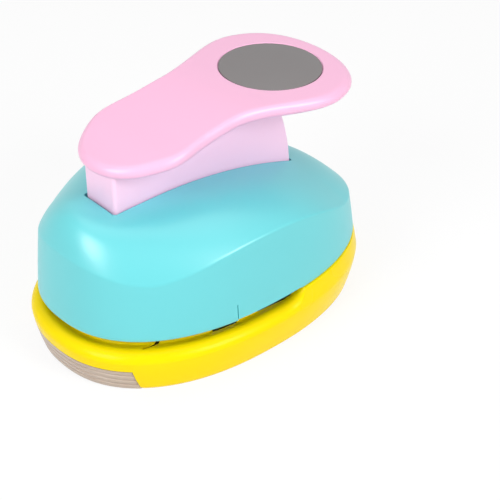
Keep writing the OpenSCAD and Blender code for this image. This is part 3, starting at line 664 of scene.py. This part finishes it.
arc_root = hand_top(pivot_x + stem_reach - 0.0086)
top_turn = math.asin((arc_root - 0.6 * hand_thick - pivot_z) / stem_reach)
low_turn = -math.asin(0.0006 / stem_reach)
arc_x = pivot_x + stem_reach * math.cos(top_turn)
stem_side = []
for step in range(25):
    x = stem_front + (arc_x - stem_front) * step / 24
    stem_side.append((x, hand_top(x) - 0.6 * hand_thick))
for step in range(1, 41):
    turn = top_turn + (low_turn - top_turn) * step / 40
    stem_side.append((pivot_x + stem_reach * math.cos(turn), pivot_z + stem_reach * math.sin(turn)))
stem_side += [(cut_middle + 0.021, roller_z + 0.0006), (cut_middle + 0.006, press_z + 0.0007),
              (cut_middle - 0.006, press_z + 0.0007), (pivot_x + 0.006, pivot_z - 0.007),
              (stem_front, pivot_z)]
stem = slab(stem_side, -stem_half, stem_half, False)
soften(stem, lambda co: co.x < stem_front + 1e-6, 0.0015)
soften(stem, lambda co: abs(math.hypot(co.x - pivot_x, co.z - pivot_z) - stem_reach) < 1e-6, 0.0006)
hollow_reach, roof, near = stem_reach - shell, hand_thick + shell, 0.0095
high_turn = math.asin((arc_root - roof - pivot_z) / hollow_reach)
hollow_side = []
for step in range(13):
    x = pivot_x + near + (hollow_reach * math.cos(high_turn) - near) * step / 12
    hollow_side.append((x, hand_top(x) - roof))
for step in range(1, 25):
    turn = high_turn * (1 - step / 24) - math.radians(6) * step / 24
    hollow_side.append((pivot_x + hollow_reach * math.cos(turn), pivot_z + hollow_reach * math.sin(turn)))
hollow_side += [(cut_middle, press_z - roller_wide), (pivot_x + near, press_z - roller_wide / 2)]
carve(stem, slab(hollow_side, shell - stem_half, stem_half - shell, False))
boss_round, pin_bore, roller_bore = 0.007, 0.00305, 0.00152
carve(stem, cross_peg(pivot_x, pivot_z, stem_half - 0.00002, boss_round), "UNION")
for step in (1, 2):
    x = cut_middle + step * (slot_rear - cut_middle) / 3
    rib_high = (x + 0.0018, stem_half - lap, hand_top(x) - hand_thick)
    carve(stem, block((x, lap - stem_half, roller_z + 0.009), rib_high), "UNION")
for side in (-1, 1):
    across = sorted((side * 0.004, side * (stem_half + 0.002)))
    lug_low = (slot_rear - 0.0075, across[0], pivot_z + 0.0002)
    carve(stem, block(lug_low, (slot_rear - 0.003, across[1], pivot_z + 0.002)), "UNION")
carve(lever, stem, "UNION")
carve(lever, cross_peg(pivot_x, pivot_z, above, pin_bore))
carve(lever, cross_peg(cut_middle, roller_z, above, roller_bore))
lean = math.atan(pad_slope)


def on_pad(piece):
    """Sets a round piece that stands on the origin into the palm pad."""
    for vertex in piece.data.vertices:
        x, z = vertex.co.x, vertex.co.z
        vertex.co.x = pad_middle + x * math.cos(lean) + z * math.sin(lean)
        vertex.co.z = hand_top(pad_middle) - x * math.sin(lean) + z * math.cos(lean)
    return piece


seat_radius, seat_deep, chamfer_spread = disc_radius + 0.0002, 0.001, 1 + 0.001 / disc_radius
carve(lever, on_pad(peg(0.0, 0.0, -seat_deep, 0.01, seat_radius)))
chamfer = peg(0.0, 0.0, -0.0004, 0.0006, seat_radius)
for vertex in chamfer.data.vertices:
    if vertex.co.z > 0:
        vertex.co.x *= chamfer_spread
        vertex.co.y *= chamfer_spread
carve(lever, on_pad(chamfer))
finish_shape(lever)
pink = plastic("pink_moulding", (0.97, 0.515, 0.735), (0.96, 0.505, 0.725), (0.3, 0.33), shine=0.6)
# Painted light: below a slanted line under the plate, the colour mixes towards a paler pink, a painted
# highlight on the stem's sides.
painted_light_pink = (1.0, 0.65, 0.85, 1)
line_end, line_lean, pink_from, painted_light_from = 0.013, -0.11, hand_height - 0.0068, hand_height - 0.0082
tree = pink.node_tree
place = tree.nodes.new("ShaderNodeTexCoord")
parts = tree.nodes.new("ShaderNodeSeparateXYZ")
level = tree.nodes.new("ShaderNodeMath")
level.operation = "MINIMUM"
level.inputs[1].default_value = line_end
plate_line = tree.nodes.new("ShaderNodeMath")
plate_line.operation = "MULTIPLY_ADD"
plate_line.inputs[1].default_value = line_lean
painted_light_ramp = tree.nodes.new("ShaderNodeMapRange")
painted_light_ramp.inputs["From Min"].default_value = pink_from
painted_light_ramp.inputs["From Max"].default_value = painted_light_from
painted_light_mix = tree.nodes.new("ShaderNodeMix")
painted_light_mix.data_type = "RGBA"
painted_light_mix.inputs["B"].default_value = painted_light_pink
shader = tree.nodes["Principled BSDF"]
skin_colour = shader.inputs["Base Color"].links[0].from_socket
tree.links.new(place.outputs["Object"], parts.inputs[0])
tree.links.new(parts.outputs["X"], level.inputs[0])
tree.links.new(level.outputs[0], plate_line.inputs[0])
tree.links.new(parts.outputs["Z"], plate_line.inputs[2])
tree.links.new(plate_line.outputs[0], painted_light_ramp.inputs["Value"])
tree.links.new(painted_light_ramp.outputs["Result"], painted_light_mix.inputs["Factor"])
tree.links.new(skin_colour, painted_light_mix.inputs["A"])
tree.links.new(painted_light_mix.outputs["Result"], shader.inputs["Base Color"])
wear(lever, pink)
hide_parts("handle_lever")
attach(lever, "lever")


# Palm disc.
# A flat matt grey disc with a fine chamfer, pressed into the round seat of the palm pad.
disc = peg(0.0, 0.0, -seat_deep, 0.0, disc_radius)
disc.name = disc.data.name = "palm_disc"
bpy.ops.object.mode_set(mode="EDIT")
bpy.ops.mesh.select_mode(type="FACE")
bpy.ops.mesh.select_all(action="DESELECT")
bpy.ops.object.mode_set(mode="OBJECT")
for face in disc.data.polygons:
    face.select = face.normal.z > 0.9
bpy.ops.object.mode_set(mode="EDIT")
bpy.ops.mesh.bevel(offset=0.00018, segments=3, affect="EDGES")
bpy.ops.mesh.select_mode(type="VERT")
bpy.ops.object.mode_set(mode="OBJECT")
on_pad(disc)
bpy.ops.object.shade_smooth_by_angle(angle=math.radians(40))
disc_grey = plastic("matt_disc", (0.225, 0.21, 0.21), (0.21, 0.197, 0.197), (0.5, 0.6), 0.1)
wear(disc, disc_grey)
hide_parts("handle_inlay")
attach(disc, "lever")


# Cover.
# A domed moulding in turquoise plastic, screwed to the base. Its near upright skirt meets the dome in a clear
# crease that dips at the corners. A long slot lets the lever through, and the edge is raised a little over the
# paper slot.
cover_shift, cover_out, skirt_lean, lean_power, edge_round = 0.001, 0.0008, 0.002, 1.15, 0.0008
crease_from, crease_to, dome_share, cover_above = 0.97, 0.014, 0.986, 0.06
crease_height, ridge_height, ridge_fall = 0.043, 0.0604, 0.02
side_rise, front_rise, rise_power, dome_full = 0.008, 0.0055, 1.6, 3.1
ridge_from, ridge_to = -foot_long + 0.038, foot_long - 0.003
ridge_long, ridge_wide, ridge_shift = foot_long - 0.0175, 0.003, 0.004


def crease_at(x, turn):
    """Height of the crease, which rises along the sides and the front."""
    side = side_rise * max(0.0, -math.cos(2 * turn)) ** rise_power
    end = front_rise * max(0.0, math.cos(2 * turn)) ** rise_power if math.cos(turn) < 0 else 0.0
    return crease_height - 0.45 * ridge_fall * (max(0.0, x) / foot_long) ** 2 + side + end


def ridge_at(x):
    """Height of the ridge along the length."""
    return ridge_height - ridge_fall * (max(0.0, x - ridge_from) / (ridge_to - ridge_from)) ** 2


def skirt_point(turn, u, inset):
    """A point of the skirt, from its lower edge at 0 to the crease at 1."""
    out = cover_out - skirt_lean * u ** lean_power - inset
    x, y = oval_point(foot_long + out, foot_wide + out, turn)
    x += cover_shift
    return Vector((x, y, seam_height + (crease_at(x, turn) - seam_height) * u - inset * u ** 6))


def dome_point(turn, v, inset):
    """A point of the dome, from the crease at 0 to the ridge at 1."""
    out = cover_out - skirt_lean - inset
    half_long = (foot_long + out) * (1 - v) + ridge_long * v
    x, y = oval_point(half_long, (foot_wide + out) * (1 - v) + ridge_wide * v, turn)
    x += cover_shift - ridge_shift * v
    low = crease_at(x, turn)
    return Vector((x, y, low + (ridge_at(x) - low) * (1 - (1 - v) ** dome_full) - inset))


def edge_point(turn, rise):
    """A point of the rounded lower edge."""
    rise = math.radians(rise)
    inward = skirt_point(turn, 0.0, edge_round * (1 - math.sin(rise)))
    return inward + Vector((0, 0, edge_round * (1 - math.cos(rise))))


def crease_point(turn, w):
    """A point of the small round between skirt and dome."""
    start, corner = skirt_point(turn, crease_from, 0.0), skirt_point(turn, 1.0, 0.0)
    end = dome_point(turn, crease_to, 0.0)
    return start * (1 - w) ** 2 + corner * (2 * w * (1 - w)) + end * w ** 2


def cover_form(name, steps):
    """Raises one ring for each step of (way to place a point, its share, inset) and lays its points so."""
    made = raise_rings(name, [(1.0, 1.0, float(level)) for level in range(len(steps))], True)
    drop = steps[-1][2]
    for vertex in made.data.vertices:
        along, across, level = vertex.co
        if abs(along) ** oval_power + abs(across) ** oval_power > 0.999:
            turn = math.atan2(math.copysign(abs(across) ** (oval_power / 2), across),
                              math.copysign(abs(along) ** (oval_power / 2), along))
            place, share, inset = steps[round(level)]
            vertex.co = place(turn, share, inset) if inset is not None else place(turn, share)
        else:
            x = cover_shift - ridge_shift + along * ridge_long
            vertex.co = (x, across * ridge_wide, ridge_at(x) - drop)
    return made


def cover_room(name, inset, drop):
    """The space inside the cover."""
    steps = [(skirt_point, u, inset) for u in (0, 0.25, 0.5, 0.7, 0.85, 1)]
    steps += [(dome_point, v, inset) for v in (0.03, 0.06, 0.1, 0.15, 0.22, 0.3, 0.42, 0.56, 0.75, 1)]
    made = cover_form(name, steps)
    for vertex in made.data.vertices:
        vertex.co.z -= drop
    return made


outside = [(edge_point, rise, None) for rise in (0, 20, 40, 60, 80)]
outside += [(skirt_point, 0.09 + 0.88 * k / 16, 0.0) for k in range(17)]
outside += [(crease_point, k / 8, None) for k in range(1, 8)]
outside += [(dome_point, crease_to + dome_share * (k / 32) ** 1.4, 0.0) for k in range(33)]
cover = cover_form("cover_moulding", outside)
carve(cover, cover_room("cover_room", shell, lap))
web_half, post_hole, hole_top = 0.0008, 0.00142, seam_height + 0.0106
for x, y in screw_places:
    post = peg(x, y, seam_height + lap, cover_above, boss_radius)
    across = sorted((y, math.copysign(cover_above, y)))
    web_low = (x - web_half, across[0], seam_height + 0.002)
    carve(post, block(web_low, (x + web_half, across[1], cover_above)), "UNION")
    carve(post, cover_room("post_limit", shell - lap, 0.0), "INTERSECT")
    carve(cover, post, "UNION")
    carve(cover, peg(x, y, 0.0, hole_top, post_hole))
slot_half, slot_front, slot_corner = stem_half + 0.00055, stem_front - 0.001, 0.0015
slot_plan = []
for x, y, first in ((slot_rear - slot_corner, slot_half - slot_corner, 0),
                    (slot_front + slot_corner, slot_half - slot_corner, 90),
                    (slot_front + slot_corner, slot_corner - slot_half, 180),
                    (slot_rear - slot_corner, slot_corner - slot_half, 270)):
    for step in range(9):
        turn = math.radians(first + 90 * step / 8)
        slot_plan.append((x + slot_corner * math.cos(turn), y + slot_corner * math.sin(turn)))
carve(cover, slab(slot_plan, seam_height + 0.012, 0.1, True))
step_from, step_to, step_top = cut_middle - 0.002, throat_end - 0.0006, seam_height + 0.0009
step_side = [(step_from, 0.0), (step_from, step_top)]
for step in range(9):
    turn = math.radians(90 - 11.25 * step)
    step_side.append((step_to + 0.0016 * (math.cos(turn) - 1), step_top + 0.0009 * (math.sin(turn) - 1)))
carve(cover, slab(step_side + [(step_to, 0.0)], -0.1, 0.1, False))
line_half, line_deep, line_long = 0.0002, 0.0008, 0.006
edge_share = 1 - (abs(step_from - cover_shift) / (foot_long + cover_out)) ** oval_power
edge_at = (foot_wide + cover_out) * edge_share ** (1 / oval_power)
for side in (-1, 1):
    across = sorted((side * (edge_at - line_deep), side * cover_above))
    line_low = (step_from - line_half, across[0], step_top)
    carve(cover, block(line_low, (step_from + line_half, across[1], step_top + line_long)))
finish_shape(cover, 40)
turquoise = plastic("turquoise_moulding", (0.122, 0.635, 0.675), (0.117, 0.622, 0.662), (0.33, 0.36),
                    shine=1.0)
wear(cover, turquoise)
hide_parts("top_cover")
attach(cover, "housing")


# Studio.
# A plain white floor and background, soft boxes to the left and right, and the camera at the picture's angle.
def straight_rays(tree):
    """One for the camera's own rays and for those that metal, gloss or glass sends on."""
    rays = tree.nodes.new("ShaderNodeLightPath")
    total = rays.outputs["Is Camera Ray"]
    for kind in ("Is Glossy Ray", "Is Transmission Ray"):
        either = tree.nodes.new("ShaderNodeMath")
        either.operation = "MAXIMUM"
        tree.links.new(total, either.inputs[0])
        tree.links.new(rays.outputs[kind], either.inputs[1])
        total = either.outputs[0]
    return total


bpy.ops.mesh.primitive_plane_add(size=6.0)
floor = bpy.context.object
floor.name = "studio_floor"
floor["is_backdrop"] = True
floor_white = bpy.data.materials.new("studio_white")
floor_white.use_nodes = True
tree = floor_white.node_tree
matt = tree.nodes["Principled BSDF"]
matt.inputs["Base Color"].default_value = (0.8, 0.8, 0.8, 1)
matt.inputs["Roughness"].default_value = 0.9
matt.inputs["Specular IOR Level"].default_value = 0.0
glow = tree.nodes.new("ShaderNodeEmission")
glow.inputs["Strength"].default_value = 1.06
blend = tree.nodes.new("ShaderNodeMixShader")
share = tree.nodes.new("ShaderNodeMath")
share.operation = "MULTIPLY"
share.inputs[1].default_value = 0.8
tree.links.new(straight_rays(tree), share.inputs[0])
tree.links.new(share.outputs[0], blend.inputs[0])
tree.links.new(matt.outputs[0], blend.inputs[1])
tree.links.new(glow.outputs[0], blend.inputs[2])
tree.links.new(blend.outputs[0], tree.nodes["Material Output"].inputs["Surface"])
wear(floor, floor_white)

world = bpy.data.worlds.new("studio")
bpy.context.scene.world = world
world.use_nodes = True
tree = world.node_tree
sky = tree.nodes["Background"]
sky.inputs["Color"].default_value = (1, 1, 1, 1)
sky.inputs["Strength"].default_value = 0.3
paper = tree.nodes.new("ShaderNodeBackground")
paper.inputs["Strength"].default_value = 1.0
paper.inputs["Color"].default_value = (1, 1, 1, 1)
blend = tree.nodes.new("ShaderNodeMixShader")
tree.links.new(straight_rays(tree), blend.inputs[0])
tree.links.new(sky.outputs[0], blend.inputs[1])
tree.links.new(paper.outputs[0], blend.inputs[2])
tree.links.new(blend.outputs[0], tree.nodes["World Output"].inputs["Surface"])


def soft_box(name, place, size, power):
    """A rectangular area lamp that looks at the middle of the punch."""
    lamp = bpy.data.lights.new(name, "AREA")
    lamp.shape = "RECTANGLE"
    lamp.size, lamp.size_y = size
    lamp.energy = power
    box = bpy.data.objects.new(name, lamp)
    bpy.context.scene.collection.objects.link(box)
    box.location = place
    box.rotation_mode = "QUATERNION"
    box.rotation_quaternion = (Vector((0, 0, 0.04)) - Vector(place)).to_track_quat("-Z", "Y")
    return box


soft_box("left_box", (-0.6, -0.09, 0.44), (0.34, 0.4), 2.8)
soft_box("right_box", (0.11, -0.63, 0.42), (0.28, 0.38), 2.9)
soft_box("top_box", (0.1, 0.15, 0.95), (0.9, 0.9), 2.1)

camera = bpy.data.cameras.new("camera")
camera.sensor_fit = "HORIZONTAL"
camera.angle = math.radians(20.0)
eye = bpy.data.objects.new("camera", camera)
bpy.context.scene.collection.objects.link(eye)
turn, tilt = math.radians(41.45), math.radians(34.9)
look = Vector((math.sin(turn) * math.cos(tilt), math.cos(turn) * math.cos(tilt), -math.sin(tilt)))
eye.location = (-0.2743, -0.3401, 0.3258)
eye.rotation_mode = "QUATERNION"
eye.rotation_quaternion = look.to_track_quat("-Z", "Y")
bpy.context.scene.camera = eye
bpy.context.scene.view_settings.view_transform = "Standard"

low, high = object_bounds()
